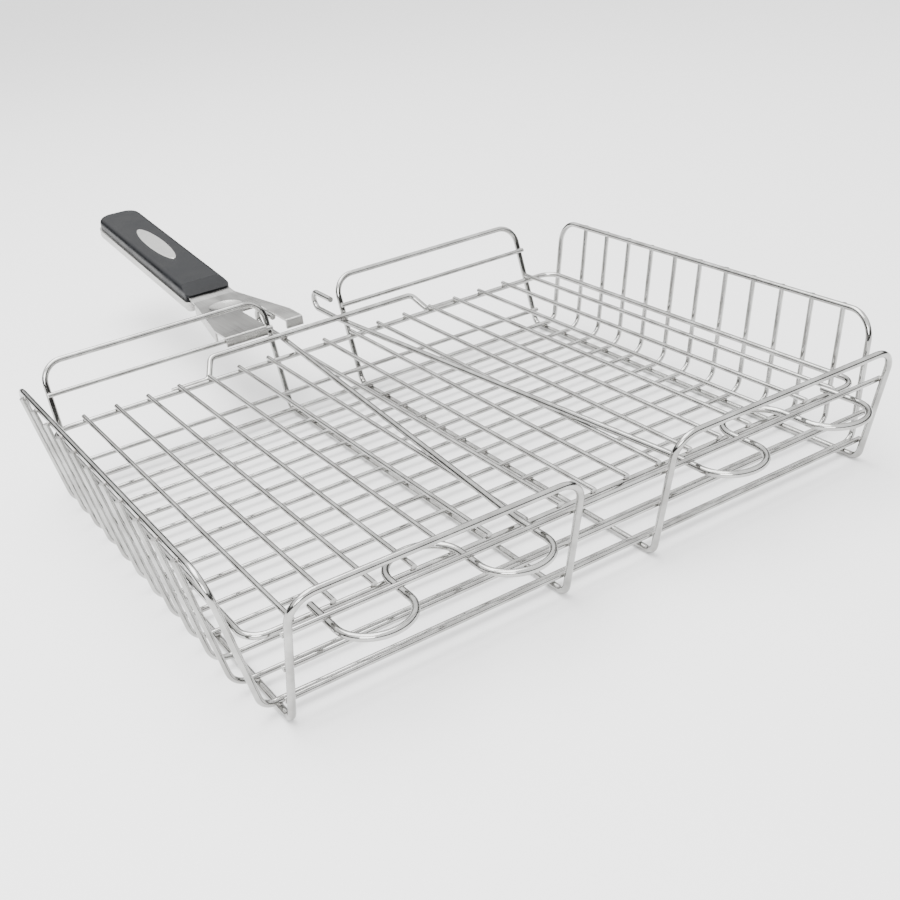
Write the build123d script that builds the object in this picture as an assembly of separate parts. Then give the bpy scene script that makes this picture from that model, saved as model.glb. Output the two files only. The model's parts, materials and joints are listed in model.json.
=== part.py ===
from build123d import *
import math
import os

# A deep wire grill basket with a wire lid and a clip-on handle.
# Millimetres. +X runs along the front panels, +Y to the handle, +Z up.
# The origin is on the surface the basket stands on, under the middle of its floor.

# wire thickness, as radii
HEAVY_R = 1.9
RIM_R = 1.75
BAR_R = 1.5
LID_BAR_R = 1.4
REAR_BAR_R = 2.0
WELD = 0.02               # welded wires stand this far apart

# front and back panels
PANEL_OUT = 178.0         # outer uprights, from the middle
PANEL_IN = 28.0           # inner uprights
PANEL_FOOT = 153.0        # foot of a panel, from the middle
PANEL_HEAD = 174.0        # its top edge: the panels lean outwards
PANEL_TOP = 74.0
PANEL_ROUND = 13.0        # round corners at the top
FOOT_ROUND = 7.0          # and where it turns under the floor

# end walls
END_FOOT = 186.0
END_HEAD = 200.0
END_TOP = 78.0
END_DEPTH = 141.0         # end uprights, front and back
END_ROUND = 15.0
FLOOR_WIRES = 11
FLOOR_PITCH = 23.5
BEND = 10.0

RAIL_HEIGHTS = {"low": 13.0, "mid": 33.0, "high": 53.5}
BACK_RAIL_Z = 56.5        # the rail that carries the handle

# lid
LID_X = 187.0
LID_Y = 143.0
LID_Z = 42.0
LID_ROUND = 11.0
LID_WIRES = 17
LID_PITCH = 2 * LID_X / (LID_WIRES + 1)
REAR_BAR_END = 108.0      # ends of the hat-shaped bar
REAR_BAR_TURN = 83.0      # where it leaves the frame
REAR_BAR_STRAIGHT = 76.0
REAR_BAR_Y = 156.0

# clip wires
CLIP_REAR_X = 22.0
CLIP_FRONT_X = 47.5
CLIP_ARM_Y = 146.0        # the arm turns straight forward here
LOOP_PITCH = 36.5         # from leg to leg
LOOP_OUT = 187.0          # finger loops reach this far forward
LOOP_IN = 133.75
CLIP_END = 145.0
CURL_BACK = 199.0
CURL_END = 172.0
CURL_RISE = 12.0

# handle
HANDLE_X = -33.0
SHEET = 1.5
TRAY_SHEET = 1.2
HOOK_GAP = 0.35           # hooks stand this far off the rail
LIP_DROP = 5.0
BRACKET_W = 56.0
NECK_W = 32.0
NECK_Y = 247.0            # the bracket is bent upwards here
HANDLE_TILT = 6.2         # degrees
TANG_END = 305.0
FLANGE_DROP = 7.0
NOTCH = (-31.6, -17.2)    # clears a basket upright and a lid curl
NOTCH_END = 205.0
GRIP_Y = (255.0, 447.0)   # tray, grip, badge and screws are laid out level, then tilted
GRIP_W = 36.5
GRIP_ROUND = 13.0
NECK_ROUND = 4.5
TRAY_FLOOR = 48.5
TRAY_RIM = 57.0
GRIP_TOP = 65.5
NOSE = (15.0, 4.2)        # length and drop of the grip's sloped front
CROWN = 4.0               # rounding of the grip's top edges
BADGE_Y = 356.0
BADGE = (37.0, 6.9)       # half length, half width
SCREWS_Y = (272.0, 292.0, 430.0)

LEG_Z = HEAVY_R
FLOOR_Z = 2 * HEAVY_R + WELD + BAR_R
RIM_FLOOR_Z = 2 * HEAVY_R + WELD + RIM_R


def wire(points, radii, r):
    """A round wire bent along the points, one bend radius for each corner."""
    path = FilletPolyline(*points, radius=radii)
    section = Plane(origin=path @ 0, z_dir=path % 0) * Circle(r)
    return sweep(section, path=path)


def straight(start, end, r):
    """A straight round wire."""
    along = Vector(*end) - Vector(*start)
    section = Plane(origin=start, z_dir=along) * Circle(r)
    return extrude(section, along.length)


def panel_y(z):
    """Distance of a panel's centre line from the middle at a height."""
    rise = (z - LEG_Z) / (PANEL_TOP - LEG_Z)
    return PANEL_FOOT + (PANEL_HEAD - PANEL_FOOT) * rise


def inner_y(z, r):
    """Centre of a wire of radius r that lies inside a panel at a height."""
    lean = math.atan2(PANEL_HEAD - PANEL_FOOT, PANEL_TOP - LEG_Z)
    return panel_y(z) - (HEAVY_R + r + WELD) / math.cos(lean)


def support_loop(side):
    """Front panel, two legs under the floor and back panel, from one closed wire."""
    a, b = side * PANEL_OUT, side * PANEL_IN
    points = [
        (a, 0, LEG_Z), (a, -PANEL_FOOT, LEG_Z), (a, -PANEL_HEAD, PANEL_TOP),
        (b, -PANEL_HEAD, PANEL_TOP), (b, -PANEL_FOOT, LEG_Z), (b, 0, LEG_Z),
    ]
    half = wire(points, [FOOT_ROUND, PANEL_ROUND, PANEL_ROUND, FOOT_ROUND], HEAVY_R)
    return half + half.mirror(Plane.XZ)


def side_loop():
    """Both end rims, their uprights and the outer floor wires, from one closed wire."""
    points = [
        (0, -END_DEPTH, RIM_FLOOR_Z), (END_FOOT, -END_DEPTH, RIM_FLOOR_Z),
        (END_HEAD, -END_DEPTH, END_TOP), (END_HEAD, END_DEPTH, END_TOP),
        (END_FOOT, END_DEPTH, RIM_FLOOR_Z), (0, END_DEPTH, RIM_FLOOR_Z),
    ]
    half = wire(points, [FOOT_ROUND, END_ROUND, END_ROUND, FOOT_ROUND], RIM_R)
    return half + half.mirror(Plane.YZ)


def floor_wire(y):
    """A floor wire with both ends turned up outside the end rims."""
    rise = END_TOP - RIM_FLOOR_Z
    lean = math.atan2(END_HEAD - END_FOOT, rise)
    off = (RIM_R + BAR_R + WELD) / math.cos(lean)
    top = END_TOP + 0.2
    head = END_HEAD + off + (top - END_TOP) * math.tan(lean)
    foot = END_FOOT + off
    points = [(-head, y, top), (-foot, y, FLOOR_Z), (foot, y, FLOOR_Z), (head, y, top)]
    return wire(points, [BEND, BEND], BAR_R)


def lid_frame():
    """Closed rounded rectangle."""
    points = [
        (-LID_X, 0, LID_Z), (-LID_X, -LID_Y, LID_Z),
        (LID_X, -LID_Y, LID_Z), (LID_X, 0, LID_Z),
    ]
    half = wire(points, [LID_ROUND, LID_ROUND], RIM_R)
    return half + half.mirror(Plane.XZ)


def lid_wire(x):
    """A thin wire from the front to the back edge, welded on the frame."""
    z = LID_Z + RIM_R + LID_BAR_R + WELD
    reach = LID_Y + RIM_R - 0.4
    return straight((x, -reach, z), (x, reach, z), LID_BAR_R)


def clip_z():
    """Height of a clip wire's arm, which lies on the lid wires."""
    return LID_Z + RIM_R + 2 * LID_BAR_R + HEAVY_R + 2 * WELD


def lid_rear_bar():
    """Hat-shaped bar: ends along the lid's back edge, middle raised behind it."""
    y = LID_Y + RIM_R + REAR_BAR_R + WELD
    z = clip_z() + HEAVY_R + REAR_BAR_R + WELD
    right = [(REAR_BAR_STRAIGHT, REAR_BAR_Y, z), (REAR_BAR_TURN, y, LID_Z), (REAR_BAR_END, y, LID_Z)]
    left = [(-px, py, pz) for px, py, pz in reversed(right)]
    return wire(left + right, [4.0, 5.0, 5.0, 4.0], REAR_BAR_R)


def clip_wire(side):
    """Arm over the lid, two finger loops in front and an upright curl behind."""
    z = clip_z()
    legs = [CLIP_FRONT_X + n * LOOP_PITCH for n in range(4)]
    points = [
        (CLIP_REAR_X, CURL_END, z + CURL_RISE), (CLIP_REAR_X, CURL_BACK, z + CURL_RISE),
        (CLIP_REAR_X, CURL_BACK, z), (CLIP_REAR_X, CURL_END - 8.0, z),
        (legs[0], -CLIP_ARM_Y, z), (legs[0], -LOOP_OUT, z), (legs[1], -LOOP_OUT, z),
        (legs[1], -LOOP_IN, z), (legs[2], -LOOP_IN, z), (legs[2], -LOOP_OUT, z),
        (legs[3], -LOOP_OUT, z), (legs[3], -CLIP_END, z),
    ]
    curl = CURL_RISE / 2 - 0.05
    loop = LOOP_PITCH / 2 - 0.05
    radii = [curl, curl, 60.0, 60.0] + [loop] * 6
    return wire([(side * x, y, pz) for x, y, pz in points], radii, HEAVY_R)


def bracket_top():
    """Underside of the bracket plate, which rides over the back rail."""
    return BACK_RAIL_Z + BAR_R + HOOK_GAP


def tilted(shape):
    """Turns a level piece of the handle up about the bend at the bracket's neck."""
    bend = Axis((0, NECK_Y, bracket_top() + SHEET / 2), (1, 0, 0))
    return shape.rotate(bend, HANDLE_TILT)


def bracket_tang():
    """Tongue of the bracket inside the grip, tilted, with a round bend at its root."""
    low = bracket_top()
    neck = NECK_W / 2
    outline = Polyline(
        (-neck, NECK_Y), (neck, NECK_Y), (neck - 3, TANG_END), (-neck + 3, TANG_END), close=True)
    tongue = extrude(Pos(HANDLE_X, 0, low) * make_face(outline), SHEET)
    for y in SCREWS_Y[:2]:
        tongue -= Pos(HANDLE_X, y, low) * Cylinder(1.6, 20)
    root = Pos(HANDLE_X, NECK_Y, low + SHEET / 2) * Rot(0, 90, 0) * Cylinder(SHEET / 2, NECK_W)
    return tilted(tongue) + root


def handle_bracket():
    """Stamped plate: rolled hooks, a notch, a dished mark, side flanges and a tang."""
    low = bracket_top()
    rail_y = inner_y(BACK_RAIL_Z, BAR_R)
    lip_in = rail_y - BAR_R - HOOK_GAP            # inner face of the lip
    half, neck = BRACKET_W / 2, NECK_W / 2
    outline = Polyline(
        (-half, lip_in - SHEET), (half, lip_in - SHEET), (half, lip_in + 18), (neck, NECK_Y),
        (-neck, NECK_Y), (-half, lip_in + 18), close=True,
    )
    plate = extrude(Pos(HANDLE_X, 0, low) * make_face(outline), SHEET)
    lip = Pos(HANDLE_X, lip_in - SHEET / 2, low - LIP_DROP / 2) * Box(BRACKET_W, SHEET, LIP_DROP)
    body = plate + lip
    rolled = body.edges().filter_by(Axis.X).group_by(Axis.Y)[0].group_by(Axis.Z)[-1]
    body = fillet(rolled, SHEET - 0.1)
    for side in (-1, 1):
        run = [(side * (half - SHEET / 2), lip_in + 18), (side * (neck - SHEET / 2), NECK_Y)]
        strip = offset(Line(*run), SHEET / 2, side=Side.BOTH)
        flange = extrude(Pos(HANDLE_X, 0, low - FLANGE_DROP) * make_face(strip), FLANGE_DROP + 0.1)
        body += flange
    # dished thumb mark
    ball = 34.0
    depth = 2.2
    centre = Pos(HANDLE_X - 2, 222, low + SHEET + ball - depth)
    bowl = centre * Sphere(ball + SHEET) & Pos(HANDLE_X, 222, low - 5) * Box(60, 60, 10)
    body = body + bowl - centre * Sphere(ball)
    a, b = NOTCH
    notch = Pos((a + b) / 2, NOTCH_END - 30, low) * Box(b - a, 60, 40)
    body -= notch
    return body + bracket_tang()


def grip_outline(inset):
    """Plan of the grip, square at the neck and round at the far end."""
    y0, y1 = GRIP_Y
    plan = Pos(HANDLE_X, (y0 + y1) / 2) * Rectangle(GRIP_W - 2 * inset, y1 - y0 - 2 * inset)
    plan = fillet(plan.vertices().group_by(Axis.Y)[-1], GRIP_ROUND - inset)
    return fillet(plan.vertices().group_by(Axis.Y)[0], NECK_ROUND)


def handle_channel():
    """Steel tray with a rounded far end, under the grip."""
    height = TRAY_RIM - TRAY_FLOOR
    tray = extrude(Pos(0, 0, TRAY_FLOOR) * grip_outline(0), height)
    tray = fillet(tray.faces().sort_by(Axis.Z)[0].edges(), 4.0)
    hollow = extrude(Pos(0, 0, TRAY_FLOOR + TRAY_SHEET) * grip_outline(TRAY_SHEET), height)
    tray -= hollow
    for y in SCREWS_Y:
        tray -= Pos(HANDLE_X, y, TRAY_FLOOR) * Cylinder(1.8, 8)
    return tilted(tray)


def handle_grip():
    """Moulded grip, crowned on top, slotted for the tang, with a seat for the badge."""
    gap = 0.05
    low = TRAY_FLOOR + TRAY_SHEET + gap
    inset = TRAY_SHEET + gap
    grip = extrude(Pos(0, 0, low) * grip_outline(inset), GRIP_TOP - low)
    grip = fillet(grip.faces().sort_by(Axis.Z)[-1].edges(), CROWN)
    run, drop = NOSE
    front = GRIP_Y[0] + inset
    wedge = Polyline(
        (front - 1, GRIP_TOP - drop), (front, GRIP_TOP - drop), (front + run, GRIP_TOP),
        (front + run, GRIP_TOP + 1), (front - 1, GRIP_TOP + 1), close=True,
    )
    cut = Plane(origin=(HANDLE_X, 0, 0), x_dir=(0, 1, 0), z_dir=(1, 0, 0)) * make_face(wedge)
    grip -= extrude(cut, GRIP_W, both=True)
    grip = fillet(grip.faces().sort_by(Axis.Z)[0].edges(), 2.9)
    tang_z = bracket_top() + SHEET / 2
    mid = (GRIP_Y[0] + TANG_END) / 2
    grip -= Pos(HANDLE_X, mid - 2, tang_z) * Box(NECK_W + 0.4, TANG_END - GRIP_Y[0] + 5, SHEET + 0.2)
    grip -= badge_shape(0.05, GRIP_TOP - 0.8, 5.0)
    for y in SCREWS_Y:
        grip -= Pos(HANDLE_X, y, low) * Cylinder(1.5, 2 * (bracket_top() - low + 4.0))
    return tilted(grip)


def badge_shape(grow, z, height):
    """Oval slab."""
    plan = Pos(HANDLE_X, BADGE_Y, z) * Ellipse(BADGE[1] + grow, BADGE[0] + grow)
    return extrude(plan, height)


def handle_badge():
    """Blank oval plate with a softened edge."""
    badge = badge_shape(0, GRIP_TOP - 0.78, 1.3)
    return tilted(fillet(badge.faces().sort_by(Axis.Z)[-1].edges(), 0.5))


def handle_screws():
    """Three pan-head screws, driven from below."""
    top = bracket_top() + 2.5
    seat = TRAY_FLOOR - WELD
    profile = Polyline(
        (0, seat - 1.9), (2.2, seat - 1.9), (3.0, seat - 1.1), (3.0, seat),
        (1.4, seat), (1.4, top), (0, top), close=True,
    )
    turned = revolve(Plane.XZ * make_face(profile), Axis.Z)
    cross = Pos(0, 0, seat - 1.9) * (Box(3.4, 0.8, 1.6) + Box(0.8, 3.4, 1.6))
    screw = turned - cross
    return Compound([tilted(Pos(HANDLE_X, y, 0) * screw).solid() for y in SCREWS_Y])


def rail(z, x0, x1, side):
    """A straight wire inside the front (-1) or back (+1) panels at a height."""
    y = side * inner_y(z, BAR_R)
    return straight((x0, y, z), (x1, y, z), BAR_R)


nodes = {
    "left_support_loop": support_loop(-1),
    "right_support_loop": support_loop(1),
    "side_loop": side_loop(),
}
for n in range(FLOOR_WIRES):
    nodes[f"floor_wire_{n + 1:02d}"] = floor_wire((n - FLOOR_WIRES // 2) * FLOOR_PITCH)
rail_end = PANEL_OUT + 1.5
for name, z in RAIL_HEIGHTS.items():
    nodes[f"front_rail_{name}"] = rail(z, -rail_end, rail_end, -1)
nodes["back_rail_low"] = rail(RAIL_HEIGHTS["low"], -rail_end, rail_end, 1)
nodes["back_rail_left"] = rail(BACK_RAIL_Z, -rail_end, -PANEL_IN + 1.5, 1)
nodes["back_rail_right"] = rail(BACK_RAIL_Z, PANEL_IN - 1.5, rail_end, 1)

nodes["lid_frame"] = lid_frame()
for n in range(LID_WIRES):
    nodes[f"lid_wire_{n + 1:02d}"] = lid_wire((n - LID_WIRES // 2) * LID_PITCH)
nodes["lid_rear_bar"] = lid_rear_bar()
nodes["left_clip_wire"] = clip_wire(-1)
nodes["right_clip_wire"] = clip_wire(1)

nodes["handle_bracket"] = handle_bracket()
nodes["handle_channel"] = handle_channel()
nodes["handle_grip"] = handle_grip()
nodes["handle_badge"] = handle_badge()
nodes["handle_screws"] = handle_screws()

os.makedirs("parts", exist_ok=True)
for name, shape in nodes.items():
    export_step(shape, f"parts/{name}.step")
    print(name, round(shape.volume, 1))
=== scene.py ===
"""Looks of a wire grill basket with a wire lid and a lift-off handle.

Metres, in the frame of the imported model.
"""
import json
import math
import random
import bpy
import bmesh
from mathutils import Matrix, Vector


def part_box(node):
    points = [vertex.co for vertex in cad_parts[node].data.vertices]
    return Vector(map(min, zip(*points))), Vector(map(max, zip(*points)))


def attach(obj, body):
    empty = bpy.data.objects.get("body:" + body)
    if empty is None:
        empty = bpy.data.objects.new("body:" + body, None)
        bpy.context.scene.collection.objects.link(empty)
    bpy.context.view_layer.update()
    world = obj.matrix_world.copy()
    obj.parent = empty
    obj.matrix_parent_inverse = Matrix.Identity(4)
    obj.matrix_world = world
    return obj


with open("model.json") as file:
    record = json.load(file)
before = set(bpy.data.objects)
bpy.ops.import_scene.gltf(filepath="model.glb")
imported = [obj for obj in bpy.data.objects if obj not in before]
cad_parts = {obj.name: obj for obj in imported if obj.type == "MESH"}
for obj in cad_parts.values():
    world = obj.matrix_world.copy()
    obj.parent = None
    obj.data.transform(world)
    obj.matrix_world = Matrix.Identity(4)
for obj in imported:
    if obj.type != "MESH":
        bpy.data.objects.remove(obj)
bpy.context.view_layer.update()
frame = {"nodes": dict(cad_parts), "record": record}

MM = 0.001

# wire radii
HEAVY_R = 1.9 * MM
RIM_R = 1.75 * MM
REAR_BAR_R = 2.0 * MM

# where the clip wires run: the slanting arm's ends (x, y), then the inner bend of the loops
ARM_REAR = (22.0 * MM, 164.0 * MM)
ARM_FRONT = (47.5 * MM, -146.0 * MM)
LOOP_INNER_X = (100.0 * MM, 106.0 * MM)
LOOP_INNER_Y = -133.75 * MM

# weld lumps by place: half width, half height
LEG_WELD = (1.5 * MM, 0.8 * MM)
RIM_WELD = (1.2 * MM, 1.3 * MM)
RAIL_WELD = (1.2 * MM, 1.4 * MM)
LID_EDGE_WELD = (1.25 * MM, 0.75 * MM)
BAR_END_WELD = (1.8 * MM, 1.0 * MM)
BAR_ARM_WELD = (1.7 * MM, 0.9 * MM)
CLIP_WELD = (1.6 * MM, 0.8 * MM)
RIM_WELD_INSET = 1.5 * MM
RIM_WELD_DROP = 0.2 * MM
BAR_END_INSETS = (4.0 * MM, 18.0 * MM)

# a lump's unevenness (depth, rate) along x, y and z, and its stretch across and along
LUMP_WAVES = ((0.10, 5.0), (0.10, 4.0), (0.06, 6.0))
LUMP_STRETCH = (1.12, 0.9)

# masks are read between these two values
MASK_RANGE = (0.35, 0.65)
NOISE_ROUGHNESS = 0.55

# stage
FLOOR_SIZE = 12.0
FLOOR_DROP = 0.2 * MM
FLOOR_GREY = 0.86
ROOM_STRENGTH = 2.6
ROOM_TONES = ((0.0, 0.03), (0.30, 0.04), (0.46, 0.9), (1.0, 1.0))
CAMERA_PLACE = (-0.3274, -0.5822, 0.3442)
CAMERA_DEGREES = (-29.64, 26.28, -6.80)
CAMERA_LENS = 50.52
SENSOR_WIDTH = 36.0


# ---------------------------------------------------------------- shared effects

def new_group(name, inputs, outputs):
    """An empty shader node group with named float inputs and outputs."""
    group = bpy.data.node_groups.new(name, "ShaderNodeTree")
    for label, value in inputs:
        socket = group.interface.new_socket(label, in_out="INPUT", socket_type="NodeSocketFloat")
        socket.default_value = value
    for label in outputs:
        group.interface.new_socket(label, in_out="OUTPUT", socket_type="NodeSocketFloat")
    start = group.nodes.new("NodeGroupInput")
    end = group.nodes.new("NodeGroupOutput")
    return group, start, end


def local_place(group):
    """Coordinates that stay with the piece when it moves."""
    return group.nodes.new("ShaderNodeTexCoord").outputs["Object"]


def fresh_noise(group, place, scale, detail):
    """A noise texture read at a place, with a linked or constant scale."""
    noise = group.nodes.new("ShaderNodeTexNoise")
    group.links.new(place, noise.inputs["Vector"])
    if isinstance(scale, (int, float)):
        noise.inputs["Scale"].default_value = scale
    else:
        group.links.new(scale, noise.inputs["Scale"])
    noise.inputs["Detail"].default_value = detail
    noise.inputs["Roughness"].default_value = NOISE_ROUGHNESS
    return noise.outputs["Fac"]


def make_handling_marks():
    """Faint smudges and fine scuffs, as on plated metal that has been handled."""
    group, start, end = new_group(
        "handling_marks", [("Smudge Scale", 45.0), ("Scuff Scale", 900.0)], ["Smudge", "Scuff"])
    place = local_place(group)
    smudge = fresh_noise(group, place, start.outputs["Smudge Scale"], 3.0)
    group.links.new(smudge, end.inputs["Smudge"])
    scuff = fresh_noise(group, place, start.outputs["Scuff Scale"], 5.0)
    group.links.new(scuff, end.inputs["Scuff"])
    return group


def make_brushed_lines():
    """Long fine lines along Y, as left by a belt on sheet steel."""
    group, start, end = new_group(
        "brushed_lines", [("Line Scale", 30.0), ("Line Stretch", 60.0)], ["Lines", "Cloud"])
    place = local_place(group)
    across = group.nodes.new("ShaderNodeCombineXYZ")
    group.links.new(start.outputs["Line Stretch"], across.inputs["X"])
    group.links.new(start.outputs["Line Stretch"], across.inputs["Z"])
    across.inputs["Y"].default_value = 1.0
    stretched = group.nodes.new("ShaderNodeVectorMath")
    stretched.operation = "MULTIPLY"
    group.links.new(place, stretched.inputs[0])
    group.links.new(across.outputs["Vector"], stretched.inputs[1])
    lines = fresh_noise(group, stretched.outputs["Vector"], start.outputs["Line Scale"], 4.0)
    group.links.new(lines, end.inputs["Lines"])
    group.links.new(fresh_noise(group, place, 28.0, 2.0), end.inputs["Cloud"])
    return group


def make_moulded_grain():
    """Fine pebbled grain of a textured mould, with a broad uneven gloss."""
    group, start, end = new_group("moulded_grain", [("Grain Scale", 2200.0)], ["Grain", "Gloss"])
    place = local_place(group)
    cells = group.nodes.new("ShaderNodeTexVoronoi")
    cells.feature = "SMOOTH_F1"
    group.links.new(place, cells.inputs["Vector"])
    group.links.new(start.outputs["Grain Scale"], cells.inputs["Scale"])
    group.links.new(cells.outputs["Distance"], end.inputs["Grain"])
    group.links.new(fresh_noise(group, place, 40.0, 3.0), end.inputs["Gloss"])
    return group


HANDLING_MARKS = make_handling_marks()
BRUSHED_LINES = make_brushed_lines()
MOULDED_GRAIN = make_moulded_grain()


# ---------------------------------------------------------------- materials

class Finish:
    """A material under construction: its tree, its shader and short ways to wire them."""

    def __init__(self, name, metallic, roughness, **constants):
        self.material = bpy.data.materials.new(name)
        self.material.use_nodes = True
        self.tree = self.material.node_tree
        self.shader = self.tree.nodes["Principled BSDF"]
        self.shader.inputs["Metallic"].default_value = metallic
        self.shader.inputs["Roughness"].default_value = roughness
        for label, value in constants.items():
            self.shader.inputs[label.replace("_", " ")].default_value = value

    def effect(self, group, **values):
        """Places a shared effect with this material's own values."""
        node = self.tree.nodes.new("ShaderNodeGroup")
        node.node_tree = group
        for label, value in values.items():
            node.inputs[label.replace("_", " ")].default_value = value
        return node

    def ramp(self, source, low, high):
        """Maps a mask to a range of values."""
        node = self.tree.nodes.new("ShaderNodeMapRange")
        self.tree.links.new(source, node.inputs["Value"])
        node.inputs["From Min"].default_value = MASK_RANGE[0]
        node.inputs["From Max"].default_value = MASK_RANGE[1]
        node.inputs["To Min"].default_value = low
        node.inputs["To Max"].default_value = high
        return node.outputs["Result"]

    def tint(self, mask, dark, pale):
        """Base colour between two tones."""
        mix = self.tree.nodes.new("ShaderNodeMix")
        mix.data_type = "RGBA"
        self.tree.links.new(self.ramp(mask, 0.0, 1.0), mix.inputs["Factor"])
        mix.inputs["A"].default_value = (*dark, 1.0)
        mix.inputs["B"].default_value = (*pale, 1.0)
        self.tree.links.new(mix.outputs["Result"], self.shader.inputs["Base Color"])

    def gloss(self, mask, low, high):
        """Roughness between two values."""
        self.tree.links.new(self.ramp(mask, low, high), self.shader.inputs["Roughness"])

    def relief(self, height, depth, strength):
        """Fine surface relief, with its depth in metres."""
        bump = self.tree.nodes.new("ShaderNodeBump")
        bump.inputs["Strength"].default_value = strength
        bump.inputs["Distance"].default_value = depth
        self.tree.links.new(height, bump.inputs["Height"])
        self.tree.links.new(bump.outputs["Normal"], self.shader.inputs["Normal"])


def bright_plated_wire():
    finish = Finish("bright_plated_wire", metallic=1.0, roughness=0.14)
    marks = finish.effect(HANDLING_MARKS, Smudge_Scale=70.0, Scuff_Scale=1400.0)
    finish.tint(marks.outputs["Smudge"], (0.30, 0.297, 0.288), (0.43, 0.43, 0.42))
    finish.gloss(marks.outputs["Smudge"], 0.08, 0.18)
    finish.relief(marks.outputs["Scuff"], 0.00004, 0.25)
    return finish.material


def burnt_weld():
    finish = Finish("burnt_weld", metallic=1.0, roughness=0.3)
    marks = finish.effect(HANDLING_MARKS, Smudge_Scale=500.0, Scuff_Scale=2600.0)
    finish.tint(marks.outputs["Smudge"], (0.16, 0.15, 0.14), (0.42, 0.41, 0.40))
    finish.gloss(marks.outputs["Smudge"], 0.2, 0.42)
    finish.relief(marks.outputs["Scuff"], 0.0001, 0.6)
    return finish.material


def satin_sheet():
    finish = Finish("satin_sheet", metallic=1.0, roughness=0.3, Anisotropic=0.45)
    lines = finish.effect(BRUSHED_LINES, Line_Scale=26.0, Line_Stretch=70.0)
    finish.tint(lines.outputs["Lines"], (0.34, 0.337, 0.325), (0.46, 0.457, 0.445))
    finish.gloss(lines.outputs["Cloud"], 0.24, 0.36)
    finish.relief(lines.outputs["Lines"], 0.00003, 0.3)
    return finish.material


def black_resin():
    finish = Finish("black_resin", metallic=0.0, roughness=0.36, Specular_IOR_Level=0.14)
    grain = finish.effect(MOULDED_GRAIN, Grain_Scale=1700.0)
    finish.tint(grain.outputs["Gloss"], (0.0030, 0.0034, 0.0042), (0.0060, 0.0066, 0.0080))
    finish.gloss(grain.outputs["Gloss"], 0.30, 0.42)
    finish.relief(grain.outputs["Grain"], 0.00012, 0.35)
    return finish.material


def badge_metal():
    finish = Finish("badge_metal", metallic=1.0, roughness=0.28, Anisotropic=0.3)
    lines = finish.effect(BRUSHED_LINES, Line_Scale=40.0, Line_Stretch=90.0)
    finish.tint(lines.outputs["Lines"], (0.48, 0.48, 0.47), (0.60, 0.60, 0.585))
    finish.gloss(lines.outputs["Cloud"], 0.22, 0.34)
    finish.relief(lines.outputs["Lines"], 0.00002, 0.25)
    return finish.material


def screw_metal():
    finish = Finish("screw_metal", metallic=1.0, roughness=0.26)
    marks = finish.effect(HANDLING_MARKS, Smudge_Scale=300.0, Scuff_Scale=2400.0)
    finish.tint(marks.outputs["Smudge"], (0.34, 0.34, 0.33), (0.48, 0.48, 0.47))
    finish.gloss(marks.outputs["Smudge"], 0.2, 0.34)
    finish.relief(marks.outputs["Scuff"], 0.00005, 0.4)
    return finish.material


FINISHES = {
    "plated_wire": bright_plated_wire(),
    "satin_steel": satin_sheet(),
    "grip_resin": black_resin(),
    "badge_plate": badge_metal(),
    "screw_steel": screw_metal(),
}
WELD_FINISH = burnt_weld()


def finish_frame():
    """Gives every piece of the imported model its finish."""
    slots = {row["node"]: row["material_slot"] for row in frame["record"]["subparts"]}
    for node, piece in frame["nodes"].items():
        for n in range(len(piece.material_slots)):
            piece.material_slots[n].material = FINISHES[slots[node]]


# ---------------------------------------------------------------- welds

def nugget(mesh, place, width, height, chance):
    """A small squeezed-out lump of weld metal between two crossed wires."""
    lump = bmesh.ops.create_icosphere(mesh, subdivisions=2, radius=1.0)["verts"]
    phase = [chance.uniform(0.0, math.tau) for _ in range(3)]
    turn = chance.uniform(0.0, math.pi)
    for vert in lump:
        swell = 1.0
        for where, shift, (depth, rate) in zip(vert.co, phase, LUMP_WAVES):
            swell += depth * math.sin(rate * where + shift)
        across = width * swell * vert.co.x * LUMP_STRETCH[0]
        along = width * swell * vert.co.y * LUMP_STRETCH[1]
        vert.co = Vector((
            place[0] + across * math.cos(turn) - along * math.sin(turn),
            place[1] + across * math.sin(turn) + along * math.cos(turn),
            place[2] + height * swell * vert.co.z,
        ))


def weld_piece(name, body, spots, seed):
    """All the welds of one body, as one piece. A spot is a place and a lump's half sizes."""
    mesh = bmesh.new()
    chance = random.Random(seed)
    for place, (width, height) in spots:
        nugget(mesh, place, width, height, chance)
    data = bpy.data.meshes.new(name)
    mesh.to_mesh(data)
    mesh.free()
    for face in data.polygons:
        face.use_smooth = True
    piece = bpy.data.objects.new(name, data)
    bpy.context.scene.collection.objects.link(piece)
    data.materials.append(WELD_FINISH)
    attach(piece, body)


def middle(node):
    """Centre of a piece's box."""
    low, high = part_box(node)
    return (low + high) / 2


def nodes_named(stem):
    """Names of the pieces that start with a stem, in order."""
    return sorted(name for name in frame["nodes"] if name.startswith(stem))


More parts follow.
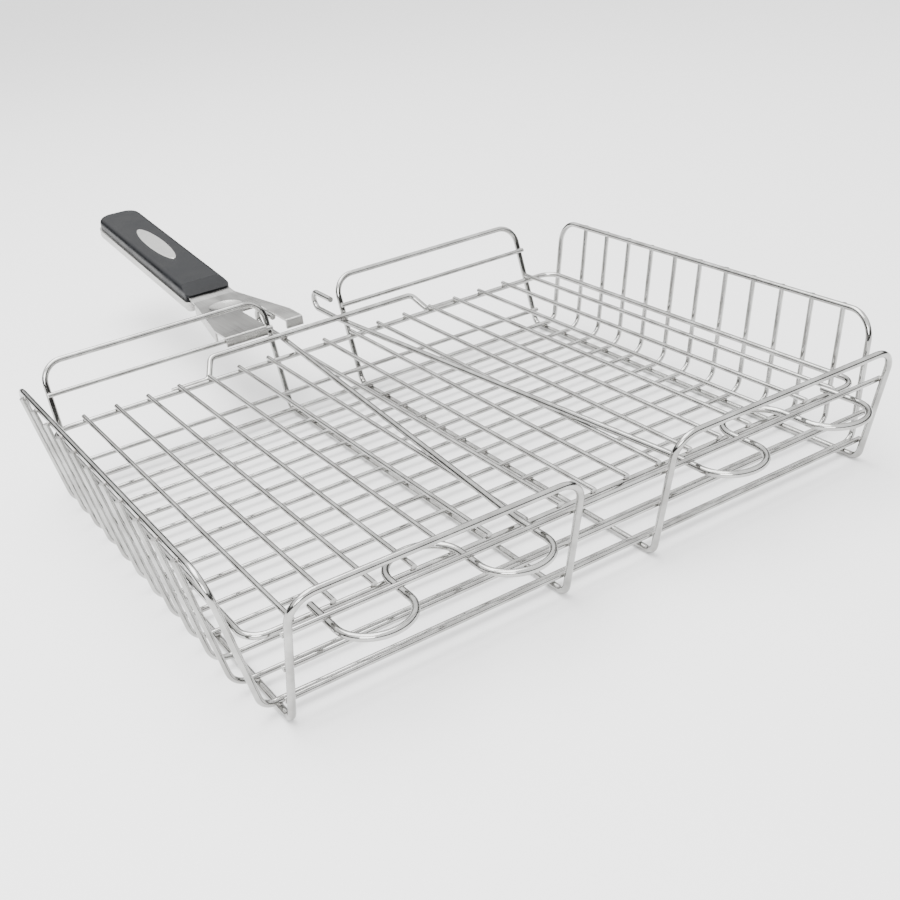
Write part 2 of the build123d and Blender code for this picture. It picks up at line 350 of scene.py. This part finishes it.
def basket_weld_spots():
    """Floor wires on the legs and the end rims, and rails on the uprights."""
    loop_low, loop_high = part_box("right_support_loop")
    rim_low, rim_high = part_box("side_loop")
    legs = [s * x for s in (-1, 1) for x in (loop_low.x + HEAVY_R, loop_high.x - HEAVY_R)]
    leg_top = 2 * HEAVY_R
    runs = [middle(name).y for name in nodes_named("floor_wire")]
    edges = [rim_low.y + RIM_R, rim_high.y - RIM_R]
    spots = [((x, y, leg_top), LEG_WELD) for x in legs for y in runs + edges]
    rim_z = rim_high.z - RIM_R
    bar_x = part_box("floor_wire_01")[1].x
    for side in (-1, 1):
        joint = side * ((rim_high.x + bar_x) / 2 - RIM_WELD_INSET)
        spots += [((joint, y, rim_z - RIM_WELD_DROP), RIM_WELD) for y in runs]
    rails = [(name, legs) for name in nodes_named("front_rail") + ["back_rail_low"]]
    rails += [("back_rail_left", legs[:2]), ("back_rail_right", legs[2:])]
    for name, uprights in rails:
        low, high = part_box(name)
        outer = low.y if name.startswith("front") else high.y
        spots += [((x, outer, middle(name).z), RAIL_WELD) for x in uprights]
    return spots


def lid_weld_spots():
    """Lid wires on the frame, rear bar on the lid's back edge, clip wires on the lid."""
    low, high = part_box("lid_frame")
    rim_r = (high.z - low.z) / 2
    wires = [middle(name).x for name in nodes_named("lid_wire")]
    edges = (low.y + rim_r, high.y - rim_r)
    spots = [((x, y, high.z), LID_EDGE_WELD) for x in wires for y in edges]
    bar_low, bar_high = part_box("lid_rear_bar")
    for side in (-1, 1):
        for inset in BAR_END_INSETS:
            place = (side * (bar_high.x - inset), high.y, (low.z + high.z) / 2)
            spots.append((place, BAR_END_WELD))
        bar_y = bar_high.y - REAR_BAR_R
        share = (ARM_REAR[1] - bar_y) / (ARM_REAR[1] - ARM_FRONT[1])
        arm_x = ARM_REAR[0] + share * (ARM_FRONT[0] - ARM_REAR[0])
        spots.append(((side * arm_x, bar_y, bar_high.z - 2 * REAR_BAR_R), BAR_ARM_WELD))
    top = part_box("lid_wire_01")[1].z
    for x in wires:
        share = (abs(x) - ARM_REAR[0]) / (ARM_FRONT[0] - ARM_REAR[0])
        if 0.0 < share < 1.0:
            y = ARM_REAR[1] + share * (ARM_FRONT[1] - ARM_REAR[1])
            spots.append(((x, y, top), CLIP_WELD))
        elif LOOP_INNER_X[0] < abs(x) < LOOP_INNER_X[1]:
            spots.append(((x, LOOP_INNER_Y, top), CLIP_WELD))
    return spots


# ---------------------------------------------------------------- stage

def pale_floor():
    """A plain matt floor just under the legs."""
    bpy.ops.mesh.primitive_plane_add(size=FLOOR_SIZE, location=(0.0, 0.0, -FLOOR_DROP))
    floor = bpy.context.object
    floor.name = "studio_floor"
    paint = Finish("floor_paint", metallic=0.0, roughness=0.6)
    paint.shader.inputs["Base Color"].default_value = (FLOOR_GREY, FLOOR_GREY, FLOOR_GREY, 1.0)
    floor.data.materials.append(paint.material)


def soft_room():
    """A room that is pale overhead and dark in a band above the horizon.

    The dark band gives the round wires their dark edges.
    """
    world = bpy.data.worlds.new("soft_room")
    bpy.context.scene.world = world
    world.use_nodes = True
    tree = world.node_tree
    place = tree.nodes.new("ShaderNodeTexCoord")
    split = tree.nodes.new("ShaderNodeSeparateXYZ")
    ramp = tree.nodes.new("ShaderNodeValToRGB")
    tree.links.new(place.outputs["Generated"], split.inputs["Vector"])
    tree.links.new(split.outputs["Z"], ramp.inputs["Fac"])
    tree.links.new(ramp.outputs["Color"], tree.nodes["Background"].inputs["Color"])
    for n, (where, grey) in enumerate(ROOM_TONES):
        stop = ramp.color_ramp.elements[n] if n < 2 else ramp.color_ramp.elements.new(where)
        stop.position = where
        stop.color = (grey, grey, grey, 1.0)
    tree.nodes["Background"].inputs["Strength"].default_value = ROOM_STRENGTH


def softbox(name, place, aim, size, power):
    """A square area light that faces a point."""
    light = bpy.data.lights.new(name, "AREA")
    light.shape = "RECTANGLE"
    light.size, light.size_y = size
    light.energy = power
    lamp = bpy.data.objects.new(name, light)
    bpy.context.scene.collection.objects.link(lamp)
    lamp.location = place
    lamp.rotation_euler = (Vector(aim) - Vector(place)).to_track_quat("-Z", "Y").to_euler()


def camera():
    """Stands low at the front left and looks along the basket to the handle."""
    turn, drop, roll = (math.radians(angle) for angle in CAMERA_DEGREES)
    ahead = Vector((
        -math.sin(turn) * math.cos(drop), math.cos(turn) * math.cos(drop), -math.sin(drop)))
    right = Vector((math.cos(turn), math.sin(turn), 0.0))
    up = right.cross(ahead)
    side = right * math.cos(roll) + up * math.sin(roll)
    top = up * math.cos(roll) - right * math.sin(roll)
    data = bpy.data.cameras.new("camera")
    data.lens = CAMERA_LENS
    data.sensor_width = SENSOR_WIDTH
    data.clip_start = 0.01
    data.dof.use_dof = False
    cam = bpy.data.objects.new("camera", data)
    bpy.context.scene.collection.objects.link(cam)
    facing = Matrix((side, top, -ahead)).transposed().to_4x4()
    cam.matrix_world = Matrix.Translation(CAMERA_PLACE) @ facing
    bpy.context.scene.camera = cam


finish_frame()
weld_piece("basket_welds", "basket", basket_weld_spots(), seed=11)
weld_piece("lid_welds", "lid", lid_weld_spots(), seed=12)
pale_floor()
soft_room()
softbox(
    "overhead_softbox", place=(-0.3, 0.3, 1.6), aim=(0.0, 0.0, 0.0), size=(1.8, 1.2), power=60.0)
softbox(
    "front_softbox", place=(-1.3, -1.2, 0.9), aim=(0.0, 0.0, 0.05), size=(1.0, 0.8), power=30.0)
camera()
